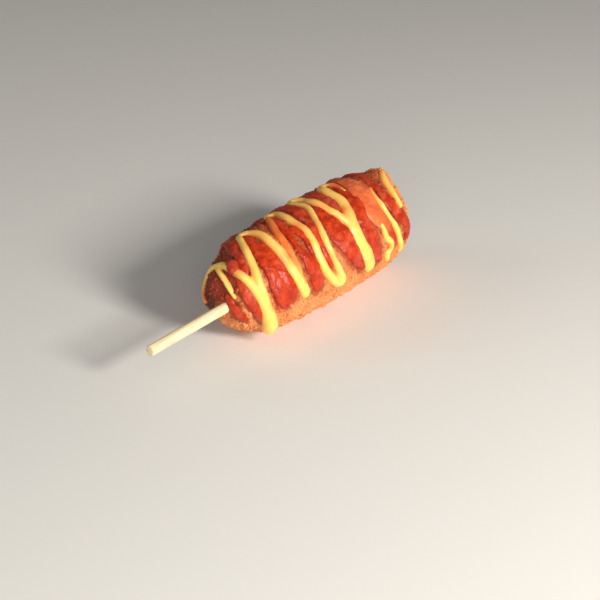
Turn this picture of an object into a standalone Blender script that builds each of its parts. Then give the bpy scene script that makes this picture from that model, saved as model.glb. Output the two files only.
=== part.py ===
"""Crumbed corn dog on a round wooden stick, with a zigzag of ketchup and mustard.

It lies on its side, sauced side up, on a small flat worn into the underside. The body's axis
runs along X with the stick toward -X, the sauces' lower ends hang toward -Y, and the origin is
the centre of the flat it rests on.

A place on the body is given by two numbers: the way along the profile from the middle of the
stick end's face, in millimetres, and the angle round the axis in degrees, 0 at the top and 90
at the front (-Y). Metres elsewhere.
"""
import math

import bmesh
import bpy
import numpy as np
from mathutils import Vector, noise

MM = 0.001

# The fried body: a full round bar whose ends are rounded and whose stick end is a little slimmer
BODY_LENGTH = 0.1294
BODY_DIAMETER = 0.0488
STICK_END_FULLNESS = 6.00
FAR_END_FULLNESS = 6.65
STICK_END_TAPER = 0.09
AXIS_HEIGHT = 0.02325
BODY_RINGS = 32
BODY_SIDES = 36

# Unevenness of the crumb crust
LUMP_SIZE = 0.0085
LUMP_HEIGHT = 0.0011
CALM_HEIGHT = 0.010
NUB = dict(way=134.5, angle=4, radius=0.0065, height=0.0038)
COLLAR = dict(way=3.6, angle=150, radius=0.0060, height=0.0014)
SHOULDER = dict(way=20, angle=-48, radius=0.0110, height=-0.0022)

# The stick: a 3/16 inch dowel
STICK_DIAMETER = 0.0048
STICK_LENGTH = 0.142
STICK_TIP_X = -0.1165
STICK_Y = -0.0014
STICK_DROP = 0.0024
STICK_ROUNDING = 0.0006
STICK_SIDES = 20

GAP = 0.00032
STRAND_STEP = 0.0070
LAYING_STEP = 0.0016
KETCHUP_RISE = 0.56
MUSTARD_RISE = 1.05
MOST_RISE = 0.0019

# Sauce strands: where each one runs, as (way, angle, width in mm)
KETCHUP = (
    ((4.8, 30, 2.4), (4.4, 80, 3.4), (7.8, 121, 3.6), (12, 138, 3.4), (17, 144, 3.2), (22, 130, 3.4)),
    ((22.5, 132, 3.4), (17.8, 110, 4.4), (14.2, 82, 5.0), (13.1, 52, 4.6), (14.8, 32, 4.4),
     (21.2, 17, 6.0), (26, -1, 6.8), (33, -26, 6.0), (40, -62, 4.0)),
    ((32.5, 99, 9.0), (30.2, 82, 11.4), (29, 58, 11.0), (29.2, 34, 9.4), (31.5, 10, 7.6),
     (37, -22, 6.0), (43, -62, 4.2)),
    ((52.6, 97, 7.6), (51.2, 80, 9.2), (50.4, 58, 8.4), (50.6, 30, 7.8), (52.5, 6, 6.6), (56, -20, 5.2),
     (59, -62, 4.2)),
    ((62.4, 80, 3.6), (60.4, 60, 5.4), (61.4, 38, 6.2), (64.2, 18, 7.0), (68, -4, 7.0), (73, -62, 4.4)),
    ((87.8, 101, 4.8), (84, 90, 8.4), (79, 76, 12.0), (75.8, 58, 12.4), (74.8, 38, 11.0), (78, 16, 9.0),
     (84, 0, 8.6), (88.5, -16, 7.6), (91, -62, 4.4)),
    ((101.4, 105, 4.8), (97.4, 90, 6.0), (95, 70, 6.6), (94.8, 50, 6.2), (97.4, 28, 6.2), (100, 8, 6.0),
     (105, -16, 5.4), (108, -62, 4.2)),
    ((125, 96, 4.6), (127.6, 82, 5.2), (124.4, 68, 5.4), (119, 54, 5.4), (117, 38, 5.4),
     (118.8, 16, 5.6), (122.5, -8, 5.0), (126, -62, 4.2)),
)
KETCHUP_BACK_TURNS = ((43, 59), (59, 73), (73, 91), (91, 108), (108, 126))
KETCHUP_BACK_START = -47
KETCHUP_BACK_REACH = -78
KETCHUP_BACK_WIDTH = 4.4

MUSTARD = (
    ((11, -114, 1.8), (14.2, -84, 2.0), (16.6, -54, 2.2), (16.8, -24, 2.8), (15, 4, 3.6),
     (15.4, 38, 4.4), (17.5, 74, 5.4), (21.3, 106, 6.8), (27, 140, 7.6)),
    ((17.5, -38, 1.8), (11.1, -11, 2.6), (7.5, 17, 2.8), (6.9, 66, 3.2)),
    ((27, 136, 7.0), (22.5, 112, 6.0), (19.5, 86, 5.4), (19.1, 56, 4.8), (21.7, 29, 4.4),
     (25, 10, 4.0), (31, -12, 3.6), (34, -20, 3.3), (37.2, -14, 3.8), (37.9, 2, 4.6),
     (36.4, 22, 5.1), (36.6, 48, 5.7), (37.3, 68, 6.0), (41.8, 97, 5.4)),
    ((53.5, -15, 3.2), (57, -22, 3.4), (60.2, -17, 3.8), (58.6, -2, 4.5), (57.3, 12, 4.8),
     (56.9, 30, 5.0), (55.5, 54, 5.4), (57, 77, 5.2), (61.8, 94, 5.0), (67.3, 102, 5.0),
     (69, 98, 4.8), (65.8, 85, 4.4), (63.2, 68, 4.3), (62.6, 54, 4.3), (64.6, 35, 4.0),
     (69.8, 16, 3.8), (73, 2, 3.6), (74.5, -20, 3.2), (77.4, -26, 3.4), (79.8, -16, 3.8),
     (78.5, 0, 4.4), (78.4, 16, 4.8), (81.2, 34, 5.0), (84.4, 48, 5.0)),
    ((99.2, 6, 2.8), (101.5, -9, 3.0), (99, -19, 3.2), (94.6, -14, 4.2), (92.6, 0, 5.6),
     (91.8, 18, 6.6), (88.5, 32, 7.2), (85.3, 46, 7.6), (84.6, 60, 7.8), (86.8, 81, 7.4),
     (92.8, 109, 7.0)),
    ((99.2, 6, 2.8), (98.8, 18, 2.8), (101.5, 32, 2.4), (103, 48, 2.4), (103.4, 64, 2.8),
     (104.8, 79, 3.8), (108.4, 88, 4.2), (108, 96, 3.8), (105.8, 100, 3.8), (107.7, 111, 4.4)),
    ((119.3, 112, 3.6), (118.6, 102, 4.0), (115.8, 87, 3.8), (114.2, 73, 3.6), (111.5, 58, 3.6),
     (110.6, 42, 3.6), (112, 22, 3.4), (115, 6, 3.0), (121, -20, 2.4)),
    ((124.5, -6, 2.0), (130, -3, 2.8), (134.5, 6, 3.6), (130, 19, 3.8), (126.2, 31, 3.8),
     (123.9, 45, 3.6), (123.4, 60, 3.2)),
    ((41.4, 80, 3.8), (41, 62, 4.8), (40.9, 45, 5.0), (42.2, 28, 4.9), (45, 12, 4.6),
     (49.5, -2, 4.2), (54.4, -17, 3.2)),
)
KETCHUP_NEAR_BLOB = (((19.5, -12, 4.4), (17, 0, 5.8), (15.4, 11, 4.6)),)
KETCHUP_FAR_BAND = (
    ((118, -50, 6.0), (114, -28, 9.0), (111, -8, 12.0), (108.5, 12, 13.0), (105.5, 26, 13.0),
     (103.3, 40, 12.4), (104.5, 54, 11.2), (107, 68, 9.4), (109.6, 80, 7.2), (112.6, 94, 4.8)),
)

STRAND_SIDES = 2


def make_collection(name):
    """Return a new collection linked to the scene."""
    collection = bpy.data.collections.new(name)
    bpy.context.scene.collection.children.link(collection)
    return collection


def make_material(name, colour, roughness):
    """Return a Principled material of one plain colour."""
    material = bpy.data.materials.new(name)
    material.use_nodes = True
    shader = material.node_tree.nodes["Principled BSDF"]
    shader.inputs["Base Color"].default_value = (*colour, 1.0)
    shader.inputs["Roughness"].default_value = roughness
    shader.inputs["Metallic"].default_value = 0.0
    return material


def place(mesh, name, collection, material=None):
    """Put a mesh in the scene as a named object."""
    thing = bpy.data.objects.new(name, mesh)
    collection.objects.link(thing)
    if material:
        mesh.materials.append(material)
    mesh.shade_smooth()
    return thing


def hide_cutter(thing):
    """Mark an object as a cutter, which isn't part of the corn dog."""
    thing.hide_render = True
    thing.display_type = "WIRE"
    return thing


def combine(thing, other, operation, solver="EXACT"):
    """Cut the other object from this one (DIFFERENCE) or join it on (UNION)."""
    boolean = thing.modifiers.new(other.name, "BOOLEAN")
    boolean.operation = operation
    boolean.solver = solver
    boolean.object = other


def settle(thing):
    """Fix an object's modifiers in its mesh and drop the specks that they leave beside its body."""
    evaluated = thing.evaluated_get(bpy.context.evaluated_depsgraph_get())
    shape = bmesh.new()
    shape.from_mesh(bpy.data.meshes.new_from_object(evaluated))
    bodies = []
    loose = set(shape.verts)
    while loose:
        body = [loose.pop()]
        for vertex in body:
            near = {edge.other_vert(vertex) for edge in vertex.link_edges} & loose
            loose -= near
            body.extend(near)
        bodies.append(body)
    bodies.sort(key=len)
    for speck in bodies[:-1]:
        bmesh.ops.delete(shape, geom=speck, context="VERTS")
    spare = [
        vertex for vertex in shape.verts
        if len(vertex.link_edges) == 2 and all(len(face.verts) > 4 for face in vertex.link_faces)
    ]
    bmesh.ops.dissolve_verts(shape, verts=spare)
    bmesh.ops.triangulate(shape, faces=shape.faces)
    thing.modifiers.clear()
    shape.to_mesh(thing.data)
    shape.free()


def body_profile(samples=2001):
    """Return x, radius and way along the profile, from the stick end's middle to the far end's."""
    x = BODY_LENGTH / 2 * np.sin(np.linspace(-math.pi / 2, math.pi / 2, samples))
    share = np.clip(2 * x / BODY_LENGTH, -1, 1)
    fullness = np.where(share < 0, STICK_END_FULLNESS, FAR_END_FULLNESS)
    slimming = 1 - STICK_END_TAPER * np.clip(-share, 0, 1)
    radius = BODY_DIAMETER / 2 * np.sqrt(1 - np.abs(share) ** fullness) * slimming
    steps = np.hypot(np.diff(x), np.diff(radius))
    return x, radius, np.concatenate(([0.0], np.cumsum(steps)))


PROFILE_X, PROFILE_RADIUS, PROFILE_WAY = body_profile()
SLOPE_X = np.gradient(PROFILE_X, PROFILE_WAY)
SLOPE_RADIUS = np.gradient(PROFILE_RADIUS, PROFILE_WAY)


def smooth_body(way, angle):
    """Return the point and the outward normal of the body before its crust is uneven."""
    x, radius, slope_x, slope_radius = (
        float(np.interp(way, PROFILE_WAY, values))
        for values in (PROFILE_X, PROFILE_RADIUS, SLOPE_X, SLOPE_RADIUS)
    )
    outward = Vector((0.0, -math.sin(angle), math.cos(angle)))
    point = Vector((x, 0.0, AXIS_HEIGHT)) + radius * outward
    normal = Vector((-slope_radius, 0.0, 0.0)) + slope_x * outward
    return point, normal.normalized()


def bump(point, place_on_body):
    """Return the height of one round bump of the crust at a point."""
    centre, _ = smooth_body(place_on_body["way"] * MM, math.radians(place_on_body["angle"]))
    distance = (point - centre).length / place_on_body["radius"]
    return place_on_body["height"] * math.exp(-distance ** 2)


def crust_point(way, angle, lift=0.0):
    """Return the point of the uneven crust at a place, raised by the lift."""
    point, normal = smooth_body(way, angle)
    calm = min(1.0, 0.2 + 0.8 * point.z / CALM_HEIGHT)
    lumps = LUMP_HEIGHT * calm * noise.noise(point / LUMP_SIZE)
    return point + normal * (lumps + sum(bump(point, spot) for spot in (NUB, COLLAR, SHOULDER)) + lift)


def locate(point):
    """Return the way and angle of the place on the body nearest to a point."""
    distance = math.hypot(point.y, point.z - AXIS_HEIGHT)
    nearest = np.argmin((PROFILE_X - point.x) ** 2 + (PROFILE_RADIUS - distance) ** 2)
    return PROFILE_WAY[nearest], math.atan2(-point.y, point.z - AXIS_HEIGHT)


def body_mesh(name, lift=0.0):
    """Make the body's skin: a sphere whose rings are laid along the profile."""
    shape = bmesh.new()
    bmesh.ops.create_uvsphere(shape, u_segments=BODY_SIDES, v_segments=BODY_RINGS, radius=1.0)
    for vertex in shape.verts:
        share = math.acos(max(-1.0, min(1.0, -vertex.co.z))) / math.pi
        angle = math.atan2(vertex.co.y, vertex.co.x)
        vertex.co = crust_point(share * PROFILE_WAY[-1], angle, lift)
    bmesh.ops.recalc_face_normals(shape, faces=shape.faces)
    mesh = bpy.data.meshes.new(name)
    shape.to_mesh(mesh)
    shape.free()
    return mesh


def through(points, amount):
    """Return the point at a share of the way along a smooth curve through some points."""
    stretch = min(int(amount), len(points) - 2)
    part = amount - stretch
    before, start, end, after = (
        points[min(max(stretch + step, 0), len(points) - 1)] for step in (-1, 0, 1, 2)
    )
    return (
        start
        + (end - before) * part / 2
        + (before * 2 - start * 5 + end * 4 - after) * part ** 2 / 2
        + (start * 3 - before - end * 3 + after) * part ** 3 / 2
    )


def strand_route(stops, step=STRAND_STEP):
    """Return the route of a strand as even steps of place and width, closer at its round ends."""
    corners = [
        Vector((*smooth_body(way * MM, math.radians(angle))[0], width * MM))
        for way, angle, width in stops
    ]
    fine = [through(corners, share) for share in np.linspace(0, len(corners) - 1, 12 * len(corners))]
    lengths = np.cumsum([0.0] + [(end.xyz - start.xyz).length for start, end in zip(fine, fine[1:])])
    head, tail = fine[0].w / 2, fine[-1].w / 2
    steps = max(2, round((lengths[-1] - head - tail) / step))
    stations = [0.0, 0.35 * head, *np.linspace(head, lengths[-1] - tail, steps + 1),
                lengths[-1] - 0.35 * tail, lengths[-1]]
    fullness = [0.35, 0.78, *np.ones(steps + 1), 0.78, 0.35]
    columns = np.array([tuple(point) for point in fine]).T
    route = []
    for station, full in zip(stations, fullness):
        x, y, z, width = (float(np.interp(station, lengths, column)) for column in columns)
        route.append((Vector((x, y, z)), width * full))
    return route


def bead(width, rise):
    """Return the radius of a round bead and the height of its middle over what it lies on."""
    half = width / 2
    height = min(half * rise, MOST_RISE)
    radius = (half ** 2 + height ** 2) / (2 * height)
    return radius, height - radius


def pile_height(point, laid):
    """Return how high the strands already laid stand over the crust at a point."""
    height = 0.0
    for middle, radius, rise in laid:
        apart = (point - middle).length
        if apart < radius:
            height = max(height, rise + math.sqrt(radius ** 2 - apart ** 2))
    return height


def strand_lifts(route, laid):
    """Return how far each step of a route is lifted by the strands that it crosses."""
    places = [near for near, _ in route]
    halfway = [(start + end) / 2 for start, end in zip(places, places[1:])]
    heights = [pile_height(place, laid) for place in places]
    between = [0.0, *(pile_height(place, laid) for place in halfway), 0.0]
    return [max(trio) for trio in zip(between, heights, between[1:])]


def lay(strands, rise, laid):
    """Return the small beads of some strands, lying on the strands that were laid before."""
    beads = []
    for stops in strands:
        route = strand_route(stops, LAYING_STEP)
        for (near, width), lift in zip(route, strand_lifts(route, laid)):
            radius, middle = bead(width, rise)
            beads.append((near, radius, middle + lift))
    return beads


def strand_mesh(name, stops, rise, laid, grow):
    """Make one strand: a round bead sunk in the crust along its route."""
    curve = bpy.data.curves.new(name, "CURVE")
    curve.dimensions = "3D"
    curve.bevel_depth = 1.0
    curve.bevel_resolution = STRAND_SIDES
    curve.use_fill_caps = True
    route = strand_route(stops)
    spline = curve.splines.new("POLY")
    spline.points.add(len(route) - 1)
    for point, (near, width), lift in zip(spline.points, route, strand_lifts(route, laid)):
        radius, middle = bead(width, rise)
        point.co = (*crust_point(*locate(near), middle + lift), 1.0)
        point.radius = radius + grow
    tube = bpy.data.objects.new(name, curve)
    bpy.context.scene.collection.objects.link(tube)
    evaluated = tube.evaluated_get(bpy.context.evaluated_depsgraph_get())
    shape = bmesh.new()
    shape.from_mesh(bpy.data.meshes.new_from_object(evaluated))
    bpy.data.objects.remove(tube)
    bmesh.ops.remove_doubles(shape, verts=shape.verts, dist=0.01 * MM)
    bmesh.ops.recalc_face_normals(shape, faces=shape.faces)
    mesh = bpy.data.meshes.new(name)
    shape.to_mesh(mesh)
    shape.free()
    return mesh


def join_strands(name, strands, collections, rise, laid, grow=0.0, material=None):
    """Make one object of strands that overlap. Exact Booleans leave open edges between them."""
    collection, cutters = collections
    first, *others = strands
    sauce = place(strand_mesh(name, first, rise, laid, grow), name, collection, material)
    for number, stops in enumerate(others, start=1):
        label = f"{name}_strand_{number}"
        strand = place(strand_mesh(label, stops, rise, laid, grow), label, cutters)
        combine(sauce, hide_cutter(strand), "UNION", "MANIFOLD")
    return sauce


def back_turns():
    """Return the ketchup's turns on the hidden side, each from one strand's end to the next."""
    for start, end in KETCHUP_BACK_TURNS:
        corners = ((0.0, KETCHUP_BACK_START), (0.22, KETCHUP_BACK_REACH), (0.78, KETCHUP_BACK_REACH),
                   (1.0, KETCHUP_BACK_START))
        yield tuple(
            (start + share * (end - start), angle, KETCHUP_BACK_WIDTH) for share, angle in corners
        )


def stick_mesh(name, radius, start, end):
    """Make a round bar along the stick's line, from one x to another."""
    shape = bmesh.new()
    bmesh.ops.create_cone(shape, cap_ends=True, segments=STICK_SIDES, radius1=radius,
                          radius2=radius, depth=end - start)
    for vertex in shape.verts:
        x, y, z = vertex.co
        vertex.co = ((start + end) / 2 + z, STICK_Y + y, AXIS_HEIGHT - STICK_DROP - x)
    mesh = bpy.data.meshes.new(name)
    shape.to_mesh(mesh)
    shape.free()
    return mesh


def make_stick(parts, cutters):
    """Make the stick and the cutter of its hole in the body."""
    end = STICK_TIP_X + STICK_LENGTH
    wood = make_material("birch_wood", (0.83, 0.68, 0.46), 0.6)
    stick = place(stick_mesh("stick", STICK_DIAMETER / 2, STICK_TIP_X, end), "stick", parts, wood)
    rounding = stick.modifiers.new("Rounded ends", "BEVEL")
    rounding.width = STICK_ROUNDING
    rounding.segments = 2
    stick.data.set_sharp_from_angle(angle=math.radians(40))
    hole = stick_mesh("stick_hole", STICK_DIAMETER / 2 + GAP, -BODY_LENGTH, end + GAP)
    return hide_cutter(place(hole, "stick_hole", cutters))


def make_body(parts, cutters, hole):
    """Make the crumbed body, flat where it rests and bored for the stick."""
    crumb = make_material("fried_crumb_crust", (0.72, 0.30, 0.10), 0.8)
    crust = place(body_mesh("crust"), "crust", parts, crumb)
    shape = bmesh.new()
    bmesh.ops.create_cube(shape, size=BODY_LENGTH * 2)
    bmesh.ops.translate(shape, verts=shape.verts, vec=(0, 0, -BODY_LENGTH))
    slab = bpy.data.meshes.new("resting_surface")
    shape.to_mesh(slab)
    shape.free()
    combine(crust, hide_cutter(place(slab, "resting_surface", cutters)), "DIFFERENCE")
    combine(crust, hole, "DIFFERENCE")
    settle(crust)


def make_sauces(parts, cutters):
    """Make the ketchup, the mustard that crosses it and the two runs of ketchup on top."""
    red = make_material("ketchup", (0.62, 0.05, 0.01), 0.25)
    yellow = make_material("mustard", (0.90, 0.62, 0.10), 0.35)
    skin = hide_cutter(place(body_mesh("crust_clearance", GAP), "crust_clearance", cutters))
    under = KETCHUP + tuple(back_turns())
    layers = (
        ("ketchup_zigzag", under, red, KETCHUP_RISE),
        ("mustard_zigzag", MUSTARD, yellow, MUSTARD_RISE),
        ("ketchup_near_blob", KETCHUP_NEAR_BLOB, red, KETCHUP_RISE),
        ("ketchup_far_band", KETCHUP_FAR_BAND, red, KETCHUP_RISE),
    )
    laid = []
    below = [skin]
    for name, strands, material, rise in layers:
        sauce = join_strands(name, strands, (parts, cutters), rise, laid, material=material)
        for cutter in below:
            combine(sauce, cutter, "DIFFERENCE", "MANIFOLD")
        settle(sauce)
        grown = join_strands(name + "_clearance", strands, (cutters, cutters), rise, laid, GAP)
        below.append(hide_cutter(grown))
        laid += lay(strands, rise, laid)


def main():
    """Build the corn dog."""
    for thing in list(bpy.data.objects):
        bpy.data.objects.remove(thing)
    parts = make_collection("corn_dog")
    cutters = make_collection("cutters")
    hole = make_stick(parts, cutters)
    make_body(parts, cutters, hole)
    make_sauces(parts, cutters)


main()
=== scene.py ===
"""A crumbed corn dog on its stick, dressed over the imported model.

The fried body gets a crunchy relief and thousands of loose crumbs, the two sauces become wet
strands that merge where they cross, and the stick gets birch grain. A place on the body is the
way along its profile from the middle of the stick end's face, in millimetres, and the angle round
its axis in degrees, 0 at the top and 90 at the front (-Y). Metres elsewhere.
"""
import math
import random
from typing import NamedTuple

import bmesh
import bpy
import numpy as np
from mathutils import Matrix, Vector, kdtree, noise


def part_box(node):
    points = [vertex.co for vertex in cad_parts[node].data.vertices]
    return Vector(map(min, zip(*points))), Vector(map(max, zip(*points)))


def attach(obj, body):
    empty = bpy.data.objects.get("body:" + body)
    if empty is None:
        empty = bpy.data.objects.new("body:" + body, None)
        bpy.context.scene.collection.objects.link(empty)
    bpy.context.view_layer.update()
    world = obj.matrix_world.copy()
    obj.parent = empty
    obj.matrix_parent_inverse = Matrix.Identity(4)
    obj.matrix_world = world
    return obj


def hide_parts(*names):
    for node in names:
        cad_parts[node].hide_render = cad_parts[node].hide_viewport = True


bl_info = {
    "name": "Corn dog",
    "version": (1, 0, 0),
    "blender": (4, 5, 0),
    "location": "3D View > Sidebar > Corn dog",
    "description": "Crust, crumbs, sauces and stick of a crumbed corn dog, and its studio",
    "category": "Add Mesh",
}

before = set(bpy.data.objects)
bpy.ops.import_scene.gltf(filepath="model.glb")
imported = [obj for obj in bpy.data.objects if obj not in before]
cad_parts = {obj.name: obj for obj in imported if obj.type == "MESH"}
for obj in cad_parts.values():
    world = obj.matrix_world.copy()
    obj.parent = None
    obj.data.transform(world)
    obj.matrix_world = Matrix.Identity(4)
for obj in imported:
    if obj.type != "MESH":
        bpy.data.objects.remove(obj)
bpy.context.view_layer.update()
CRUST_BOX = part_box("crust")
STICK_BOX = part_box("stick")

MM = 0.001

# The fried body's turned profile
BODY_LENGTH = 0.1294
BODY_DIAMETER = 0.0488
STICK_END_FULLNESS = 6.00
FAR_END_FULLNESS = 6.65
STICK_END_TAPER = 0.09
AXIS_HEIGHT = 0.02325
AXIS = Vector((0.0, 0.0, AXIS_HEIGHT))

# Its larger unevenness, as in the solid
LUMP_SIZE = 0.0085
LUMP_HEIGHT = 0.0011
CALM_HEIGHT = 0.010
NUB = dict(way=134.5, angle=4, radius=0.0065, height=0.0038)
COLLAR = dict(way=3.6, angle=150, radius=0.0060, height=0.0014)
SHOULDER = dict(way=20, angle=-48, radius=0.0110, height=-0.0022)

# Batter that stands fuller round the stick end's rim and on the nub
SWELLS = (dict(way=13.5, angle=-92, radius=0.0070, height=0.0016),
          dict(way=13, angle=-45, radius=0.0065, height=0.0024),
          dict(way=133.5, angle=4, radius=0.0065, height=0.0011),
          dict(way=126, angle=2, radius=0.0070, height=0.0010))

# Sauce strands: where each one runs, as (way, angle, width in mm)
KETCHUP = (
    ((4.2, 20, 2.6), (4.4, 80, 4.4), (7.8, 117, 5.0), (14, 134, 3.8)),
    ((22.5, 128, 3.4), (17.4, 110, 5.2), (13.6, 82, 6.2), (12, 54, 6.0), (13.4, 34, 5.6),
     (19.6, 17, 6.6), (25, -1, 8.0), (31, -26, 8.6), (38, -60, 5.0)),
    ((31, 101, 6.8), (28.4, 84, 7.8), (26.6, 60, 7.4), (27, 36, 6.4), (30, 12, 6.0), (36, -20, 5.4),
     (43, -60, 4.2)),
    ((34, 96, 6.0), (33, 78, 6.4), (31.5, 56, 6.2), (31.6, 34, 5.0), (33.5, 12, 4.0)),
    ((52.6, 97, 7.6), (50.6, 82, 8.0), (48.8, 64, 7.4), (47, 48, 5.0), (48, 30, 4.4), (50.5, 10, 5.4),
     (54.5, -14, 5.4), (59, -60, 4.2)),
    ((53.2, 74, 4.2), (53.4, 54, 4.2), (54, 34, 4.6), (53.8, 14, 5.0)),
    ((62.4, 80, 3.6), (60.4, 60, 5.4), (61.4, 38, 6.2), (64.2, 18, 7.0), (68, -4, 7.0), (73, -60, 4.4)),
    ((87.8, 101, 4.8), (84.8, 92, 7.0), (78.4, 78, 8.4), (74, 62, 8.4), (72, 44, 7.6), (73.5, 24, 6.6),
     (80, 2, 5.8), (85.5, -20, 5.4), (91, -60, 4.4)),
    ((84.4, 82, 5.2), (80.5, 66, 6.6), (78, 50, 6.4), (76.4, 34, 5.8), (75, 20, 4.4)),
    ((85.5, 30, 4.4), (87, 11, 7.0), (89.5, -10, 7.4), (92, -34, 6.0)),
    ((101.4, 105, 4.8), (96.8, 90, 7.4), (94, 70, 9.0), (93.6, 50, 9.0), (96.4, 28, 8.0),
     (99.6, 8, 7.0), (105, -16, 5.4), (108, -60, 4.2)),
    ((124.6, 98, 5.0), (125.8, 82, 6.8), (122.6, 68, 7.4), (118.6, 54, 7.4), (117, 38, 7.0),
     (118.8, 16, 6.6), (122.5, -8, 5.6), (126, -60, 4.2)),
)
KETCHUP_BACK_TURNS = ((43, 59), (59, 73), (73, 91), (91, 108), (108, 126))
KETCHUP_BACK_START = -47
KETCHUP_BACK_REACH = -78
KETCHUP_BACK_WIDTH = 4.4

MUSTARD = (
    ((11, -114, 2.2), (14.2, -84, 2.8), (16.6, -54, 3.0), (16.8, -24, 3.4), (15, 4, 3.9),
     (15.4, 38, 4.5), (17.5, 74, 5.4), (21.3, 106, 6.8), (27, 140, 7.6)),
    ((17.5, -38, 2.2), (11.1, -11, 2.8), (7.5, 17, 2.8), (6.9, 68, 1.8)),
    ((27, 136, 7.0), (22.5, 112, 6.0), (19.5, 86, 5.4), (19.1, 56, 4.8), (21.7, 29, 4.4),
     (25, 10, 4.0), (31, -12, 3.6), (34, -20, 3.3), (37.2, -14, 3.8), (37.9, 2, 4.6),
     (36.4, 22, 5.1), (36.6, 48, 5.7), (37.7, 68, 6.2), (42.8, 97, 5.8)),
    ((53.5, -15, 3.2), (57, -22, 3.4), (60.2, -17, 3.8), (58.6, -2, 4.5), (57.3, 12, 4.8),
     (56.9, 30, 5.0), (55.5, 54, 5.4), (57, 77, 5.2), (61.8, 94, 5.0), (67.3, 102, 5.0),
     (69, 98, 4.8), (65.8, 85, 4.4), (63.2, 68, 4.3), (62.6, 54, 4.3), (64.6, 35, 4.0),
     (69.8, 16, 3.8), (73, 2, 3.6), (74.5, -20, 3.2), (77.4, -26, 3.4), (79.8, -16, 3.8),
     (78.5, 0, 4.4), (78.4, 16, 4.8), (81.2, 34, 5.0), (84.4, 48, 5.0)),
    ((99.2, 12, 2.0), (101.5, -9, 2.8), (99, -19, 3.2), (94.6, -14, 4.2), (92.6, 0, 5.6),
     (91.8, 18, 6.8), (88.5, 32, 7.8), (85.3, 46, 8.4), (85, 60, 8.6), (87.6, 81, 8.4),
     (94, 111, 8.0)),
    ((103.2, 62, 2.6), (104.8, 79, 3.8), (108.4, 88, 4.2), (108, 96, 3.8), (105.8, 100, 3.8), (107.7, 111, 4.4)),
    ((119.3, 112, 3.6), (118.6, 102, 4.0), (115.8, 87, 3.8), (114.2, 73, 3.6), (111.5, 58, 3.6),
     (110.6, 42, 3.4), (112.4, 20, 2.4)),
    ((130.8, 7, 3.0), (127.6, 19, 4.6), (125.4, 31, 4.6),
     (123.9, 45, 3.6), (123.4, 60, 3.2)),
)
MUSTARD_DRIP = (((20.0, 98, 6.6), (23.4, 120, 7.8), (27.6, 142, 8.4)),)
# Orange spots on the mustard as (way, angle, reach in metres): where it dragged through ketchup, except the one
# at (13, -98) on the stick end's arc, which is painted shade.
ORANGE_SMEARS_AND_SHADE = ((36.6, 44, 0.0030), (57, 22, 0.0035), (86, 30, 0.0022), (64, 34, 0.0020),
                 (19.3, 50, 0.0016), (132, 12, 0.0040), (107, 92, 0.0020), (13, -98, 0.0060),
                 (112.4, 22, 0.0050), (100.5, 0, 0.0040))
MIXED = (
    ((39.8, 82, 3.6), (39.9, 62, 5.0), (40.3, 45, 5.2), (42, 28, 5.0), (45, 12, 4.6),
     (49.5, -2, 4.2), (54.4, -17, 3.2)),
)
KETCHUP_NEAR_BLOB = (((18.4, -6, 4.6), (15.9, 5, 6.2), (14.4, 18, 5.0)),)
KETCHUP_FAR_BAND = (
    ((118, -50, 6.0), (114, -28, 9.0), (111, -8, 12.0), (108.5, 12, 13.0), (105.5, 26, 13.0),
     (103.3, 40, 12.4), (104.5, 54, 11.2), (107, 68, 9.4), (109.6, 80, 7.2), (112.6, 94, 4.8)),
)


def linear(code):
    """Turn a colour written as sRGB hex into linear red, green and blue."""
    shares = (int(code[place:place + 2], 16) / 255 for place in (1, 3, 5))
    return tuple(s / 12.92 if s <= 0.04045 else ((s + 0.055) / 1.055) ** 2.4 for s in shares)


def length(label, text, default):
    """Return a length property in metres."""
    return bpy.props.FloatProperty(name=label, description=text, default=default, min=0.0,
                                   precision=5, unit="LENGTH")


def colour(label, text, code):
    """Return a colour property whose default is a hex value."""
    return bpy.props.FloatVectorProperty(name=label, description=text, default=linear(code),
                                         subtype="COLOR", size=3, min=0.0, max=1.0)


class CornDogSizes(bpy.types.PropertyGroup):
    """Sizes that a user may change."""

    grain: length("Relief grain", "Width of one grain of the fried relief", 0.0021)
    relief: length("Relief height", "Height of the fried relief", 0.0006)
    crumb: length("Coarse crumb", "Width of a usual coarse crumb", 0.0018)
    fine_crumb: length("Fine crumb", "Width of a usual fine crumb", 0.00095)
    ketchup_rise: bpy.props.FloatProperty(
        name="Ketchup fullness", description="Height of a ketchup strand over half its width",
        default=0.62, min=0.1, max=1.2)
    ketchup_height: length("Ketchup height", "Most that a ketchup strand stands up", 0.0011)
    mustard_rise: bpy.props.FloatProperty(
        name="Mustard fullness", description="Height of a mustard strand over half its width",
        default=1.0, min=0.1, max=1.4)
    mustard_height: length("Mustard height", "Most that a mustard strand stands up", 0.0023)
    voxel: length("Sauce voxel", "Cell size that the strands are merged with", 0.00042)


class CornDogColours(bpy.types.PropertyGroup):
    """Colours that a user may change."""

    crust_light: colour("Crust, light", "Golden tips of the fried crumb", "#f2a268")
    crust_middle: colour("Crust, middle", "Fried crumb", "#dc864a")
    # The dark crust colour is painted shade in the relief's hollows, and the real colour of well done spots and
    # darker crumbs.
    crust_dark: colour("Crust, dark", "Hollows and well done spots", "#b8602f")
    ketchup: colour("Ketchup", "Tomato ketchup", "#cc4014")
    mustard: colour("Mustard", "Yellow mustard", "#ffcb54")
    wood: colour("Birch, light", "Early wood of the stick", "#f3e2bd")
    wood_grain: colour("Birch, grain", "Late wood of the stick", "#d9b884")
    floor: colour("Floor", "Studio floor", "#f0eeea")


# --- the body's surface -------------------------------------------------------------------------

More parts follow.
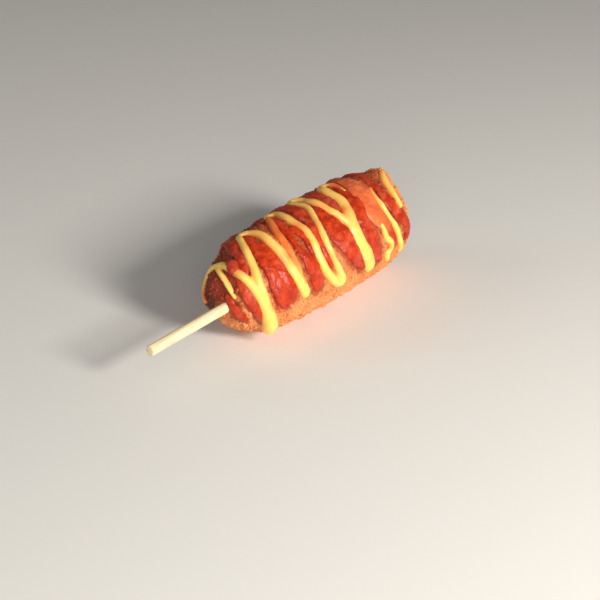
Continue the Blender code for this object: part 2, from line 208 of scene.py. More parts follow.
def body_profile(samples=2001):
    """Return x, radius and way along the profile, from the stick end's middle to the far end's."""
    x = BODY_LENGTH / 2 * np.sin(np.linspace(-math.pi / 2, math.pi / 2, samples))
    share = np.clip(2 * x / BODY_LENGTH, -1, 1)
    fullness = np.where(share < 0, STICK_END_FULLNESS, FAR_END_FULLNESS)
    slimming = 1 - STICK_END_TAPER * np.clip(-share, 0, 1)
    radius = BODY_DIAMETER / 2 * np.sqrt(1 - np.abs(share) ** fullness) * slimming
    steps = np.hypot(np.diff(x), np.diff(radius))
    return x, radius, np.concatenate(([0.0], np.cumsum(steps)))


PROFILE_X, PROFILE_RADIUS, PROFILE_WAY = body_profile()
SLOPE_X = np.gradient(PROFILE_X, PROFILE_WAY)
SLOPE_RADIUS = np.gradient(PROFILE_RADIUS, PROFILE_WAY)


def smooth_body(way, angle):
    """Return the point and the outward normal of the body before its crust is uneven."""
    x, radius, slope_x, slope_radius = (
        float(np.interp(way, PROFILE_WAY, values))
        for values in (PROFILE_X, PROFILE_RADIUS, SLOPE_X, SLOPE_RADIUS)
    )
    outward = Vector((0.0, -math.sin(angle), math.cos(angle)))
    normal = Vector((-slope_radius, 0.0, 0.0)) + slope_x * outward
    return Vector((x, 0.0, 0.0)) + AXIS + radius * outward, normal.normalized()


BUMPS = [
    (smooth_body(spot["way"] * MM, math.radians(spot["angle"]))[0], spot["radius"], spot["height"])
    for spot in (NUB, COLLAR, SHOULDER, *SWELLS)
]


def lumps(point):
    """Return the height of the crust's larger lumps at a point of the smooth body."""
    calm = min(1.0, 0.2 + 0.8 * point.z / CALM_HEIGHT)
    height = LUMP_HEIGHT * calm * noise.noise(point / LUMP_SIZE)
    for centre, radius, top in BUMPS:
        height += top * math.exp(-((point - centre).length / radius) ** 2)
    return height


def locate(point):
    """Return the way and angle of the place on the body nearest to a point."""
    distance = math.hypot(point.y, point.z - AXIS_HEIGHT)
    nearest = np.argmin((PROFILE_X - point.x) ** 2 + (PROFILE_RADIUS - distance) ** 2)
    return PROFILE_WAY[nearest], math.atan2(-point.y, point.z - AXIS_HEIGHT)


def on_crust(near, lift):
    """Return the crust's point nearest to a point, raised by the lift."""
    point, normal = smooth_body(*locate(near))
    return point + normal * (lumps(point) + lift)


# --- meshes and nodes ---------------------------------------------------------------------------

def finish_piece(shape, name, material, replaced=(), smooth=True):
    """Turn a bmesh into a finished object that rides on the corn dog."""
    mesh = bpy.data.meshes.new(name)
    shape.to_mesh(mesh)
    shape.free()
    if smooth:
        mesh.shade_smooth()
    mesh.materials.append(material)
    piece = bpy.data.objects.new(name, mesh)
    bpy.context.scene.collection.objects.link(piece)
    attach(piece, "root")
    if replaced:
        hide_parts(*replaced)
    return piece


def repeat(units, places):
    """Return a bmesh with a copy of one of the unit meshes at each place."""
    shape = bmesh.new()
    for unit, place in zip(units, places):
        copy = unit.copy()
        copy.transform(place)
        shape.from_mesh(copy)
        bpy.data.meshes.remove(copy)
    return shape


def write_attribute(mesh, name, values):
    """Store one number for each vertex, for the materials to read."""
    layer = mesh.attributes.new(name, "FLOAT", "POINT")
    layer.data.foreach_set("value", np.asarray(values, dtype=np.float32))


def new_material(name):
    """Return an empty node material, its tree and its output node."""
    material = bpy.data.materials.new(name)
    material.use_nodes = True
    tree = material.node_tree
    tree.nodes.clear()
    return material, tree


def add(tree, kind, links=(), **settings):
    """Add a node; links fill its inputs with values or with other nodes' outputs."""
    node = tree.nodes.new(kind)
    for key, value in settings.items():
        setattr(node, key, value)
    for key, value in dict(links).items():
        if isinstance(value, bpy.types.NodeSocket):
            tree.links.new(value, node.inputs[key])
        else:
            node.inputs[key].default_value = value
    return node


def rgba(values):
    """Return a colour with full alpha."""
    return (*values, 1.0)


# --- sauce strands ------------------------------------------------------------------------------

def through(points, amount):
    """Return the point at a share of the way along a smooth curve through some points."""
    stretch = min(int(amount), len(points) - 2)
    part = amount - stretch
    before, start, end, after = (
        points[min(max(stretch + step, 0), len(points) - 1)] for step in (-1, 0, 1, 2)
    )
    return (
        start
        + (end - before) * part / 2
        + (before * 2 - start * 5 + end * 4 - after) * part ** 2 / 2
        + (start * 3 - before - end * 3 + after) * part ** 3 / 2
    )


def strand_route(stops, step=0.0005):
    """Return the route of a strand as even steps of place and width."""
    corners = [
        Vector((*smooth_body(way * MM, math.radians(angle))[0], width * MM))
        for way, angle, width in stops
    ]
    fine = [through(corners, share) for share in np.linspace(0, len(corners) - 1, 16 * len(corners))]
    lengths = np.cumsum([0.0] + [(end.xyz - start.xyz).length for start, end in zip(fine, fine[1:])])
    head, tail = fine[0].w / 2, fine[-1].w / 2
    count = max(2, round((lengths[-1] - head - tail) / step))
    columns = np.array([tuple(point) for point in fine]).T
    for station in np.linspace(head, lengths[-1] - tail, count + 1):
        x, y, z, width = (float(np.interp(station, lengths, column)) for column in columns)
        yield Vector((x, y, z)), width


class Bead(NamedTuple):
    """One flattened bead of a strand: its place on the smooth body, half width, height and lift."""

    near: Vector
    half: float
    height: float
    lift: float

    def top(self, apart):
        """Return how high it stands over the crust at a distance from its place."""
        return self.lift + self.height * math.sqrt(max(0.0, 1 - (apart / self.half) ** 2))


class Pile:
    """The beads of sauce that lie on the crust so far."""

    def __init__(self):
        self.beads = []
        self.tree = None
        self.reach = 0.0

    def add(self, beads):
        """Lay more beads and index them, so that heights can be asked for."""
        self.beads += beads
        self.reach = max(one.half for one in self.beads)
        self.tree = kdtree.KDTree(len(self.beads))
        for number, one in enumerate(self.beads):
            self.tree.insert(one.near, number)
        self.tree.balance()

    def height(self, point):
        """Return how high the sauce stands over the crust at a point of the smooth body."""
        if not self.tree:
            return 0.0
        tops = [self.beads[number].top(apart)
                for _, number, apart in self.tree.find_range(point, self.reach)
                if apart < self.beads[number].half]
        return max(tops, default=0.0)

    def gap(self, point, most):
        """Return how far a point of the smooth body is from the sauce's edge, at most a distance."""
        gaps = [apart - self.beads[number].half
                for _, number, apart in self.tree.find_range(point, self.reach + most)]
        return min(gaps, default=most)


def lay_strands(strands, rise, most, pile, uneven, seed):
    """Return the beads of some strands, lying on the crust and on the pile."""
    laid = []
    for stops in strands:
        for near, width in strand_route(stops):
            wobble = noise.noise(near / 0.0052 + Vector((seed, 0.0, 0.0)))
            wobble += 0.6 * noise.noise(near / 0.0024 + Vector((0.0, seed, 0.0)))
            half = width / 2 * (1 + uneven * wobble)
            sag = half ** 2 / (2 * BODY_DIAMETER)
            height = min(half * rise, most) + sag
            laid.append(Bead(near, half, height, 0.6 * pile.height(near) - sag))
    return laid


def merge_beads(beads, voxel, smoothing):
    """Return one wet skin round all the beads, as a bmesh."""
    ball = bmesh.new()
    bmesh.ops.create_icosphere(ball, subdivisions=2, radius=1.0)
    unit = bpy.data.meshes.new("bead")
    ball.to_mesh(unit)
    ball.free()
    moves = []
    for one in beads:
        upright = smooth_body(*locate(one.near))[1].to_track_quat("Z", "X")
        moves.append(Matrix.LocRotScale(on_crust(one.near, one.lift), upright,
                                        Vector((one.half, one.half, one.height))))
    balls = repeat([unit] * len(beads), moves)
    mesh = bpy.data.meshes.new("beads")
    balls.to_mesh(mesh)
    balls.free()
    lump = bpy.data.objects.new("beads", mesh)
    bpy.context.scene.collection.objects.link(lump)
    remesh = lump.modifiers.new("Merge", "REMESH")
    remesh.mode = "VOXEL"
    remesh.voxel_size = voxel
    evaluated = lump.evaluated_get(bpy.context.evaluated_depsgraph_get())
    skin = bmesh.new()
    skin.from_mesh(evaluated.to_mesh())
    bpy.data.objects.remove(lump)
    for _ in range(smoothing):
        bmesh.ops.smooth_vert(skin, verts=skin.verts, factor=0.5, use_axis_x=True,
                              use_axis_y=True, use_axis_z=True)
    return skin


def ruffle(skin, grain, height):
    """Push a sauce's skin in and out a little, as the crumbs under it do."""
    skin.normal_update()
    moves = [(vertex, vertex.normal * (height * noise.fractal(vertex.co / grain, 1.0, 2.0, 3)))
             for vertex in skin.verts]
    for vertex, move in moves:
        vertex.co += move


def ketchup_strands():
    """Return the ketchup's strands with the turns on the hidden side."""
    turns = []
    for start, end in KETCHUP_BACK_TURNS:
        corners = ((0.0, KETCHUP_BACK_START), (0.22, KETCHUP_BACK_REACH), (0.78, KETCHUP_BACK_REACH),
                   (1.0, KETCHUP_BACK_START))
        turns.append(tuple(
            (start + share * (end - start), angle, KETCHUP_BACK_WIDTH) for share, angle in corners
        ))
    return KETCHUP + tuple(turns)


class Sauces:
    """The beads of every sauce layer, worked out once and shared by the operators."""

    layers = {}
    ketchup = Pile()
    all = Pile()


def lay_sauces(sizes):
    """Lay every layer of sauce in the order in which it was squeezed on."""
    ketchup = Pile()
    pile = Pile()
    under = lay_strands(ketchup_strands(), sizes.ketchup_rise, sizes.ketchup_height, pile, 0.30, 3.0)
    pile.add(under)
    ketchup.add(under)
    mixed = lay_strands(MIXED, 0.7 * sizes.mustard_rise, sizes.mustard_height, pile, 0.10, 5.0)
    yellow = lay_strands(MUSTARD, sizes.mustard_rise, sizes.mustard_height, pile, 0.06, 7.0)
    yellow += lay_strands(MUSTARD_DRIP, sizes.mustard_rise, 1.5 * sizes.mustard_height, pile, 0.06, 7.0)
    pile.add(mixed + yellow)
    over = lay_strands(KETCHUP_NEAR_BLOB, sizes.ketchup_rise, 2 * sizes.ketchup_height, pile, 0.12, 9.0)
    over += lay_strands(KETCHUP_FAR_BAND, sizes.ketchup_rise, sizes.ketchup_height, pile, 0.12, 9.0)
    pile.add(over)
    ketchup.add(over)
    Sauces.ketchup = ketchup
    Sauces.all = pile
    Sauces.layers = {"under": under, "mixed": mixed, "yellow": yellow, "over": over}


# --- materials ----------------------------------------------------------------------------------

def fried_crumb(colours):
    """Deep-fried breadcrumb: dry and matt, golden on its tips and brown in its hollows, the brown of the hollows
    being painted shade; more painted shade darkens the stick end's face, the top and the back.
    """
    material, tree = new_material("fried_breadcrumb")
    place = add(tree, "ShaderNodeTexCoord").outputs["Object"]
    relief = add(tree, "ShaderNodeAttribute", attribute_name="relief").outputs["Fac"]
    stain_and_painted_shade = add(tree, "ShaderNodeAttribute", attribute_name="stain_and_painted_shade").outputs["Fac"]
    patches = add(tree, "ShaderNodeTexNoise", {"Vector": place, "Scale": 120.0, "Detail": 3.0})
    specks = add(tree, "ShaderNodeTexNoise", {"Vector": place, "Scale": 900.0, "Detail": 4.0,
                                              "Roughness": 0.6})
    # Painted shade: the relief's hollows turn dark; the specks and each loose crumb's own tone are real darker
    # spots.
    height = add(tree, "ShaderNodeMath", {0: relief, 1: specks.outputs["Fac"]}, operation="ADD")
    toasted_and_painted_hollow_shade = add(tree, "ShaderNodeMapRange", {"Value": height.outputs[0], "From Min": 0.15,
                                               "From Max": 0.9}, interpolation_type="SMOOTHSTEP")
    golden = add(tree, "ShaderNodeMapRange", {"Value": patches.outputs["Fac"], "From Min": 0.35,
                                              "From Max": 0.68})
    tips = add(tree, "ShaderNodeMix", {0: golden.outputs[0], 6: rgba(colours.crust_middle),
                                       7: rgba(colours.crust_light)}, data_type="RGBA")
    crumb = add(tree, "ShaderNodeMix", {0: toasted_and_painted_hollow_shade.outputs[0], 6: rgba(colours.crust_dark),
                                        7: tips.outputs[2]}, data_type="RGBA")
    # Darker with random browned patches and with painted shade on the stick end's face, the top and the back.
    browning_and_painted_shade = add(tree, "ShaderNodeAttribute", attribute_name="browning_and_painted_shade").outputs["Fac"]
    fried = add(tree, "ShaderNodeMix", {0: browning_and_painted_shade, 6: crumb.outputs[2],
                                        7: rgba(linear("#6b2f16"))}, data_type="RGBA")
    # Dark red where ketchup soaked in, and as painted shade over the top and the back.
    stained_and_shaded = add(tree, "ShaderNodeMix", {0: stain_and_painted_shade, 6: fried.outputs[2],
                                          7: rgba(linear("#9a3212"))}, data_type="RGBA")
    rough = add(tree, "ShaderNodeMapRange", {"Value": stain_and_painted_shade, "To Min": 0.68, "To Max": 0.5})
    dents = add(tree, "ShaderNodeBump", {"Height": specks.outputs["Fac"], "Strength": 0.35,
                                         "Distance": 0.0003})
    shader = add(tree, "ShaderNodeBsdfPrincipled", {
        "Base Color": stained_and_shaded.outputs[2], "Roughness": rough.outputs[0], "IOR": 1.45,
        "Normal": dents.outputs[0], "Subsurface Weight": 0.15, "Subsurface Scale": 0.0015,
        "Subsurface Radius": (1.0, 0.5, 0.25)})
    add(tree, "ShaderNodeOutputMaterial", {"Surface": shader.outputs[0]})
    return material


def tomato_ketchup(colours):
    """Tomato ketchup: a wet, slightly see-through paste with a sharp gloss."""
    material, tree = new_material("tomato_ketchup")
    place = add(tree, "ShaderNodeTexCoord").outputs["Object"]
    depth = add(tree, "ShaderNodeAttribute", attribute_name="depth").outputs["Fac"]
    cloud = add(tree, "ShaderNodeTexNoise", {"Vector": place, "Scale": 230.0, "Detail": 4.0,
                                             "Roughness": 0.6})
    pulp = add(tree, "ShaderNodeMapRange", {"Value": cloud.outputs["Fac"], "From Min": 0.38,
                                            "From Max": 0.66})
    thick = add(tree, "ShaderNodeMix", {0: pulp.outputs[0], 6: rgba(linear("#a82608")),
                                        7: rgba(colours.ketchup)}, data_type="RGBA")
    thin = add(tree, "ShaderNodeTexNoise", {"Vector": place, "Scale": 120.0, "Detail": 5.0,
                                            "Roughness": 0.65})
    haze = add(tree, "ShaderNodeMapRange", {"Value": thin.outputs["Fac"], "From Min": 0.52,
                                            "From Max": 0.72, "To Max": 0.5})
    hazy = add(tree, "ShaderNodeMix", {0: haze.outputs[0], 6: thick.outputs[2],
                                       7: rgba(linear("#d8735a"))}, data_type="RGBA")
    tone = add(tree, "ShaderNodeMix", {0: depth, 6: rgba(linear("#85220a")),
                                       7: hazy.outputs[2]}, data_type="RGBA")
    orange_tint = add(tree, "ShaderNodeAttribute", attribute_name="orange_tint").outputs["Fac"]
    mixed = add(tree, "ShaderNodeMix", {0: orange_tint, 6: tone.outputs[2],
                                        7: rgba(linear("#ff8a50"))}, data_type="RGBA")
    ripple = add(tree, "ShaderNodeBump", {"Height": cloud.outputs["Fac"], "Strength": 0.25,
                                          "Distance": 0.0005})
    shader = add(tree, "ShaderNodeBsdfPrincipled", {
        "Base Color": mixed.outputs[2], "Roughness": 0.42, "IOR": 1.36,
        "Normal": ripple.outputs[0], "Subsurface Weight": 0.2, "Subsurface Scale": 0.001,
        "Subsurface Radius": (1.0, 0.3, 0.12), "Coat Weight": 0.05, "Coat Roughness": 0.2})
    add(tree, "ShaderNodeOutputMaterial", {"Surface": shader.outputs[0]})
    return material


def yellow_mustard(colours):
    """Yellow mustard: a smooth paste with a soft gloss, tinted orange where it dragged through ketchup and, as
    painted shade, on the strands' sides and upper parts.
    """
    material, tree = new_material("yellow_mustard")
    place = add(tree, "ShaderNodeTexCoord").outputs["Object"]
    orange_tint = add(tree, "ShaderNodeAttribute", attribute_name="orange_tint").outputs["Fac"]
    cloud = add(tree, "ShaderNodeTexNoise", {"Vector": place, "Scale": 260.0, "Detail": 4.0})
    paste = add(tree, "ShaderNodeMix", {0: cloud.outputs["Fac"], 6: rgba(colours.mustard),
                                        7: rgba(linear("#ffe088"))}, data_type="RGBA")
    # Orange where it dragged through ketchup, and as painted shade on the strands' sides and upper parts.
    tone = add(tree, "ShaderNodeMix", {0: orange_tint, 6: paste.outputs[2],
                                       7: rgba(linear("#e8622a"))}, data_type="RGBA")
    ripple = add(tree, "ShaderNodeBump", {"Height": cloud.outputs["Fac"], "Strength": 0.25,
                                          "Distance": 0.0004})
    shader = add(tree, "ShaderNodeBsdfPrincipled", {
        "Base Color": tone.outputs[2], "Roughness": 0.36, "IOR": 1.42,
        "Normal": ripple.outputs[0], "Subsurface Weight": 0.7, "Subsurface Scale": 0.003,
        "Subsurface Radius": (1.0, 0.6, 0.25)})
    add(tree, "ShaderNodeOutputMaterial", {"Surface": shader.outputs[0]})
    return material


def birch(colours):
    """Birch dowel: pale, close-grained and unvarnished, its grain running along the stick."""
    material, tree = new_material("birch_dowel")
    place = add(tree, "ShaderNodeTexCoord").outputs["Object"]
    stretched = add(tree, "ShaderNodeMapping", {"Vector": place, "Scale": (0.05, 1.0, 1.0)})
    grain = add(tree, "ShaderNodeTexNoise", {"Vector": stretched.outputs[0], "Scale": 1500.0,
                                             "Detail": 4.0})
    streaks = add(tree, "ShaderNodeMapRange", {"Value": grain.outputs["Fac"], "From Min": 0.42,
                                               "From Max": 0.72})
    tone = add(tree, "ShaderNodeMix", {0: streaks.outputs[0], 6: rgba(colours.wood),
                                       7: rgba(colours.wood_grain)}, data_type="RGBA")
    fibre = add(tree, "ShaderNodeBump", {"Height": grain.outputs["Fac"], "Strength": 0.3,
                                         "Distance": 0.0002})
    shader = add(tree, "ShaderNodeBsdfPrincipled", {
        "Base Color": tone.outputs[2], "Roughness": 0.6, "IOR": 1.5,
        "Normal": fibre.outputs[0]})
    add(tree, "ShaderNodeOutputMaterial", {"Surface": shader.outputs[0]})
    return material


def studio_paper(colours):
    """Matt backdrop paper, plain and pale."""
    material, tree = new_material("studio_paper")
    shader = add(tree, "ShaderNodeBsdfPrincipled", {"Base Color": rgba(colours.floor),
                                                    "Roughness": 0.9})
    add(tree, "ShaderNodeOutputMaterial", {"Surface": shader.outputs[0]})
    return material


# --- pieces -------------------------------------------------------------------------------------

def relief_at(point, grain):
    """Return the height, from 0 to 1, of the fried relief at a point."""
    drift = noise.noise_vector(point / (grain * 1.4)) * grain * 0.5
    near, far = noise.voronoi((point + drift) / grain)[0][:2]
    crags = noise.ridged_multi_fractal(point / (grain * 1.2), 0.9, 2.1, 4, 0.9, 1.9)
    soft = noise.noise(point / (grain * 2.4))
    return max(0.0, min(1.0, 0.45 * (far - near) + 0.22 * crags + 0.3 * soft + 0.08))


def browning_and_painted_shade_at(point):
    """Return how much darker the crust is at a point, from 0 to 1: random browned patches, and painted shade on
    the upper back half of the stick end's face and on the top and back.
    """
    face = max(0.0, min(1.0, (-point.x - BODY_LENGTH / 2 + 0.013) / 0.012))
    # Painted shade: the upper back half of the stick end's face is darker.
    shaded_side = max(0.0, min(1.0, (0.7 * (point.y + point.z - AXIS_HEIGHT) + 0.006) / 0.006))
    mouth = (point - smooth_body(3.0 * MM, math.radians(170))[0]).length
    face *= max(0.3, min(1.0, (mouth - 0.0025) / 0.004))
    patchy = 0.5 + 0.9 * noise.noise(point / 0.006)
    angle = math.degrees(math.atan2(-point.y, point.z - AXIS_HEIGHT))
    # Painted shade: the top and the back are darker, except near the far end.
    top = 0.4 * max(0.0, min(1.0, (25 - angle) / 40, (angle + 150) / 40, (0.056 - point.x) / 0.008))
    return max(0.0, min(1.0, face * shaded_side * (0.75 + 0.3 * patchy) + top + 0.2 * patchy - 0.1))


def stain_and_painted_shade_at(point):
    """Return how far ketchup has soaked into the crust at a point, widened into painted shade over the top and
    the back, from 0 to 1.
    """
    ragged = 0.0016 * noise.noise(point / 0.0024) + 0.0008 * noise.noise(point / 0.0009)
    angle = math.degrees(math.atan2(-point.y, point.z - AXIS_HEIGHT))
    # Painted shade: the soaked red spreads wider and deeper over the top and the back.
    top = max(0.0, min(1.0, (30 - angle) / 40, (angle + 110) / 50, (0.056 - point.x) / 0.008))
    face = max(0.0, min(1.0, (-0.050 - point.x) / 0.004, (-point.y - 0.002) / 0.004))
    wet = 1.0 - (Sauces.ketchup.gap(point, 0.012) + ragged) / (0.0034 + 0.0080 * top - 0.0022 * face)
    return max(0.0, min(0.85, wet + 0.45 * top))


def mark_crust(mesh, reliefs, places):
    """Store what the fried crumb's material reads, for even shares of the vertices."""
    share = len(mesh.vertices) // len(places)
    write_attribute(mesh, "relief", np.repeat(reliefs, share))
    write_attribute(mesh, "stain_and_painted_shade", np.repeat([stain_and_painted_shade_at(place) for place in places], share))
    write_attribute(mesh, "browning_and_painted_shade", np.repeat([browning_and_painted_shade_at(place) for place in places], share))


class CORNDOG_OT_crust(bpy.types.Operator):
    """Turn the fried body and give it its crunchy relief"""

    bl_idname = "corndog.crust"
    bl_label = "Crust"

    rings = 250
    sides = 300

    def execute(self, context):
        sizes = context.scene.corn_dog_sizes
        shape = bmesh.new()
        ways = np.linspace(0.0, PROFILE_WAY[-1], self.rings + 1)
        profile = [shape.verts.new(smooth_body(way, 0.0)[0]) for way in ways]
        edges = [shape.edges.new(pair) for pair in zip(profile, profile[1:])]
        bmesh.ops.spin(shape, geom=profile + edges, cent=AXIS, axis=(1.0, 0.0, 0.0),
                       angle=math.tau, steps=self.sides, use_merge=True)
        bmesh.ops.remove_doubles(shape, verts=shape.verts, dist=0.00001)
        bmesh.ops.recalc_face_normals(shape, faces=shape.faces)
        shape.normal_update()
        shape.verts.ensure_lookup_table()
        places = [vertex.co.copy() for vertex in shape.verts]
        normals = [vertex.normal.copy() for vertex in shape.verts]
        reliefs = [relief_at(place, sizes.grain) for place in places]
        for vertex, place, normal, relief in zip(shape.verts, places, normals, reliefs):
            calm = min(1.0, 0.15 + place.z / 0.006)
            vertex.co = place + normal * (lumps(place) + sizes.relief * calm * (relief - 0.7))
            vertex.co.z = max(vertex.co.z, 0.0)
        piece = finish_piece(shape, "fried_crust", bpy.data.materials["fried_breadcrumb"],
                             ("crust",))
        mark_crust(piece.data, reliefs, places)
        return {"FINISHED"}


def crumb_shapes(count, rings, dice):
    """Return some irregular crumbs a unit across, as meshes."""
    meshes = []
    for _ in range(count):
        shape = bmesh.new()
        bmesh.ops.create_uvsphere(shape, u_segments=rings + 1, v_segments=rings, radius=0.5)
        bmesh.ops.rotate(shape, verts=shape.verts, matrix=Matrix.Rotation(1.2, 3, "Y"))
        for vertex in shape.verts:
            vertex.co *= 1 + dice.uniform(-0.28, 0.28)
        bmesh.ops.scale(shape, verts=shape.verts,
                        vec=(dice.uniform(0.9, 1.4), 1.0, dice.uniform(0.55, 0.85)))
        mesh = bpy.data.meshes.new("crumb")
        shape.to_mesh(mesh)
        shape.free()
        meshes.append(mesh)
    return meshes


def scatter(count, spacing, dice):
    """Return evenly random places on the body, at least the spacing apart."""
    weights = PROFILE_RADIUS + 1e-6
    table = np.cumsum(weights * np.gradient(PROFILE_WAY))
    table /= table[-1]
    cells = {}
    found = []
    tries = 0
    while len(found) < count and tries < count * 12:
        tries += 1
        way = float(np.interp(dice.random(), table, PROFILE_WAY))
        angle = dice.uniform(-math.pi, math.pi)
        point, normal = smooth_body(way, angle)
        cell = tuple(int(value // spacing) for value in point)
        near = [
            other for x in (-1, 0, 1) for y in (-1, 0, 1) for z in (-1, 0, 1)
            for other in cells.get((cell[0] + x, cell[1] + y, cell[2] + z), ())
        ]
        if all((point - other).length > spacing for other in near):
            cells.setdefault(cell, []).append(point)
            found.append((point, normal))
    return found


class CORNDOG_OT_crumbs(bpy.types.Operator):
    """Press loose crumbs into the crust"""

    bl_idname = "corndog.crumbs"
    bl_label = "Crumbs"

    kind: bpy.props.EnumProperty(
        name="Kind", description="Which crumbs to add", default="coarse",
        items=(("coarse", "Coarse", "Coarse crumbs"), ("fine", "Fine", "Fine crumbs")))

    def execute(self, context):
        sizes = context.scene.corn_dog_sizes
        coarse = self.kind == "coarse"
        usual, count, rings = (sizes.crumb, 2800, 5) if coarse else (sizes.fine_crumb, 9000, 4)
        dice = random.Random(11 if coarse else 23)
        meshes = crumb_shapes(12, rings, dice)
        units, moves, tones, places = [], [], [], []
        for point, normal in scatter(count, usual * 0.62, dice):
            size = usual * min(1.7, dice.lognormvariate(-0.12, 0.32))
            if point.z < 0.004 or Sauces.all.height(point) > 0.3 * size:
                continue
            centre = on_crust(point, size * dice.uniform(-0.38, 0.0))
            turn = normal.to_track_quat("Z", "X").to_matrix().to_4x4()
            turn @= Matrix.Rotation(dice.uniform(0, math.tau), 4, "Z")
            turn @= Matrix.Rotation(dice.uniform(-0.7, 0.7), 4, "X")
            units.append(dice.choice(meshes))
            moves.append(Matrix.Translation(centre) @ turn @ Matrix.Scale(size, 4))
            tones.append(dice.uniform(0.2, 0.75))
            places.append(point)
        piece = finish_piece(repeat(units, moves), self.kind + "_crumbs",
                             bpy.data.materials["fried_breadcrumb"])
        mark_crust(piece.data, tones, places)
        return {"FINISHED"}


class CORNDOG_OT_ketchup(bpy.types.Operator):
    """Squeeze the ketchup on: the zigzag under the mustard and the runs on top of it"""

    bl_idname = "corndog.ketchup"
    bl_label = "Ketchup"

    def execute(self, context):
        sizes = context.scene.corn_dog_sizes
        material = bpy.data.materials["tomato_ketchup"]
        layers = (
            ("ketchup_strands", Sauces.layers["under"], ("ketchup_zigzag",)),
            ("ketchup_runs_on_top", Sauces.layers["over"], ("ketchup_near_blob", "ketchup_far_band")),
        )
        for name, beads, replaced in layers:
            skin = merge_beads(beads, sizes.voxel, 5)
            ruffle(skin, 0.0030, 0.00032)
            ruffle(skin, 0.0013, 0.00012)
            piece = finish_piece(skin, name, material, replaced)
            tree = kdtree.KDTree(len(beads))
            for number, one in enumerate(beads):
                tree.insert(on_crust(one.near, one.lift), number)
            tree.balance()
            depths, orange_tints = [], []
            for vertex in piece.data.vertices:
                _, number, apart = tree.find(vertex.co)
                depths.append(max(0.0, min(1.0, 1.6 - apart / beads[number].half)))
                streak = 0.55 + 0.3 * noise.noise(vertex.co / 0.007)
                wide = max(0.0, min(1.0, (beads[number].half - 0.0035) / 0.002))
                orange_tints.append(max(0.0, min(1.0, streak * wide)) if name == "ketchup_runs_on_top" else 0.0)
            write_attribute(piece.data, "depth", depths)
            write_attribute(piece.data, "orange_tint", orange_tints)
        return {"FINISHED"}


class CORNDOG_OT_mustard(bpy.types.Operator):
    """Squeeze the mustard on"""

    bl_idname = "corndog.mustard"
    bl_label = "Mustard"

    def execute(self, context):
        sizes = context.scene.corn_dog_sizes
        beads = Sauces.layers["yellow"] + Sauces.layers["mixed"]
        skirts = [one._replace(lift=one.lift - 0.6 * one.height) for one in beads]
        skin = merge_beads(beads + skirts, sizes.voxel, 6)
        piece = finish_piece(skin, "mustard_strands", bpy.data.materials["yellow_mustard"],
                             ("mustard_zigzag",))
        tree = kdtree.KDTree(len(beads))
        for number, one in enumerate(beads):
            tree.insert(on_crust(one.near, one.lift), number)
        tree.balance()
        uprights = [smooth_body(*locate(one.near))[1] for one in beads]
        first_mixed = len(Sauces.layers["yellow"])
        smear_and_shade_spots = [(smooth_body(way * MM, math.radians(angle))[0], reach)
                  for way, angle, reach in ORANGE_SMEARS_AND_SHADE]
        orange_tints = []
        for vertex in piece.data.vertices:
            _, number, _ = tree.find(vertex.co)
            one = beads[number]
            streak = 0.5 + 0.5 * noise.noise(vertex.co / 0.003)
            smear = max(0.0, noise.noise(vertex.co / 0.009 + Vector((4.0, 0.0, 0.0))) - 0.12)
            # Painted shade: the strands' sides and upper parts turn orange.
            side = 1.0 - abs(vertex.normal.dot(uprights[number]))
            upper = max(0.0, min(1.0, (vertex.co.z - 0.030) / 0.014))
            tone = 0.45 + 0.45 * upper - 0.2 * streak if number >= first_mixed else 0.16 * upper
            tone += sum(0.6 * math.exp(-((vertex.co - spot).length / reach) ** 2)
                        for spot, reach in smear_and_shade_spots)
            orange_tints.append(min(1.0, tone + 0.5 * side + 0.6 * smear))
        write_attribute(piece.data, "orange_tint", orange_tints)
        return {"FINISHED"}


class CORNDOG_OT_stick(bpy.types.Operator):
    """Turn the stick with its softened ends"""

    bl_idname = "corndog.stick"
    bl_label = "Stick"

    def execute(self, context):
        low, high = STICK_BOX
        middle = (Vector(low) + Vector(high)) / 2
        radius = (high[2] - low[2]) / 2
        shape = bmesh.new()
        turn = Matrix.Translation(middle) @ Matrix.Rotation(math.pi / 2, 4, "Y")
        bmesh.ops.create_cone(shape, cap_ends=True, segments=48, radius1=radius, radius2=radius,
                              depth=high[0] - low[0], matrix=turn)
        rims = [edge for edge in shape.edges if abs(edge.verts[0].co.x - edge.verts[1].co.x) < radius / 10]
        bmesh.ops.bevel(shape, geom=rims, offset=0.0007, offset_type="OFFSET", segments=4,
                        profile=0.5, affect="EDGES", material=-1)
        finish_piece(shape, "birch_stick", bpy.data.materials["birch_dowel"], ("stick",))
        return {"FINISHED"}


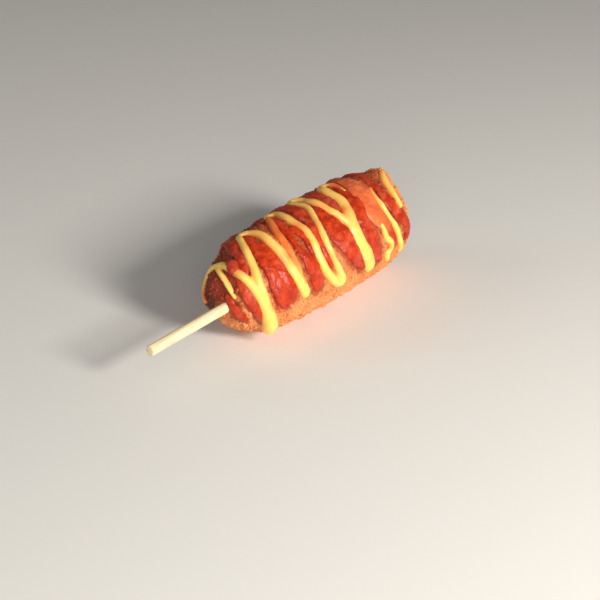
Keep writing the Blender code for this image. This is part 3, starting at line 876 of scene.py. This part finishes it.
class CORNDOG_OT_stage(bpy.types.Operator):
    """Set up the pale floor, the soft lights and the camera"""

    bl_idname = "corndog.stage"
    bl_label = "Stage"

    azimuth = math.radians(-54.03)
    elevation = math.radians(25.70)
    distance = 0.8
    lens = 102.75
    aim = (-0.01053, -0.00224, 0.00356)

    def execute(self, context):
        colours = context.scene.corn_dog_colours
        shape = bmesh.new()
        bmesh.ops.create_grid(shape, x_segments=1, y_segments=1, size=3.0)
        mesh = bpy.data.meshes.new("floor")
        shape.to_mesh(mesh)
        shape.free()
        mesh.materials.append(studio_paper(colours))
        floor = bpy.data.objects.new("floor", mesh)
        context.scene.collection.objects.link(floor)

        world = bpy.data.worlds.new("studio")
        world.use_nodes = True
        world.node_tree.nodes["Background"].inputs["Color"].default_value = (1.0, 0.98, 0.95, 1.0)
        world.node_tree.nodes["Background"].inputs["Strength"].default_value = 0.13
        context.scene.world = world
        context.scene.view_settings.view_transform = "Standard"

        self.light("key", (-0.20, -1.03, 0.50), 0.28, 15.2, (1.0, 0.96, 0.89))
        self.light("fill", (-0.95, -0.70, 0.35), 0.5, 4.0, (1.0, 0.96, 0.90))
        self.light("back_fill", (-0.80, 1.00, 0.60), 0.6, 2.6, (1.0, 0.98, 0.96))

        back = Vector((math.sin(self.azimuth) * math.cos(self.elevation),
                       -math.cos(self.azimuth) * math.cos(self.elevation), math.sin(self.elevation)))
        right = Vector((math.cos(self.azimuth), math.sin(self.azimuth), 0.0))
        up = back.cross(right)
        camera = bpy.data.objects.new("camera", bpy.data.cameras.new("camera"))
        camera.data.lens = self.lens
        camera.data.sensor_width = 36.0
        camera.data.clip_start = 0.01
        camera.matrix_world = Matrix.Translation(
            Vector(self.aim) + back * self.distance
        ) @ Matrix((right, up, back)).transposed().to_4x4()
        context.scene.collection.objects.link(camera)
        context.scene.camera = camera
        return {"FINISHED"}

    def light(self, name, place, size, power, tint):
        """Add one soft square light that looks at the corn dog."""
        lamp = bpy.data.lights.new(name, "AREA")
        lamp.size = size
        lamp.energy = power
        lamp.color = tint
        thing = bpy.data.objects.new(name, lamp)
        thing.location = place
        thing.rotation_euler = (AXIS - Vector(place)).to_track_quat("-Z", "Y").to_euler()
        bpy.context.scene.collection.objects.link(thing)


class CORNDOG_PT_panel(bpy.types.Panel):
    """The corn dog's pieces and values in the sidebar"""

    bl_idname = "CORNDOG_PT_panel"
    bl_label = "Corn dog"
    bl_space_type = "VIEW_3D"
    bl_region_type = "UI"
    bl_category = "Corn dog"

    def draw(self, context):
        for operator in ("crust", "crumbs", "ketchup", "mustard", "stick", "stage"):
            self.layout.operator("corndog." + operator)
        for group in (context.scene.corn_dog_sizes, context.scene.corn_dog_colours):
            for name in group.__annotations__:
                self.layout.prop(group, name)


CLASSES = (
    CornDogSizes, CornDogColours, CORNDOG_OT_crust, CORNDOG_OT_crumbs, CORNDOG_OT_ketchup,
    CORNDOG_OT_mustard, CORNDOG_OT_stick, CORNDOG_OT_stage, CORNDOG_PT_panel,
)


def register():
    """Add the operators, the panel and the values."""
    for kind in CLASSES:
        bpy.utils.register_class(kind)
    bpy.types.Scene.corn_dog_sizes = bpy.props.PointerProperty(type=CornDogSizes)
    bpy.types.Scene.corn_dog_colours = bpy.props.PointerProperty(type=CornDogColours)


def unregister():
    """Take them out again."""
    del bpy.types.Scene.corn_dog_colours
    del bpy.types.Scene.corn_dog_sizes
    for kind in reversed(CLASSES):
        bpy.utils.unregister_class(kind)


def main():
    """Dress the whole corn dog."""
    register()
    sizes = bpy.context.scene.corn_dog_sizes
    colours = bpy.context.scene.corn_dog_colours
    for make in (fried_crumb, tomato_ketchup, yellow_mustard, birch):
        make(colours)
    lay_sauces(sizes)
    bpy.ops.corndog.crust()
    bpy.ops.corndog.crumbs(kind="coarse")
    bpy.ops.corndog.crumbs(kind="fine")
    bpy.ops.corndog.ketchup()
    bpy.ops.corndog.mustard()
    bpy.ops.corndog.stick()
    bpy.ops.corndog.stage()


if __name__ == "__main__":
    main()
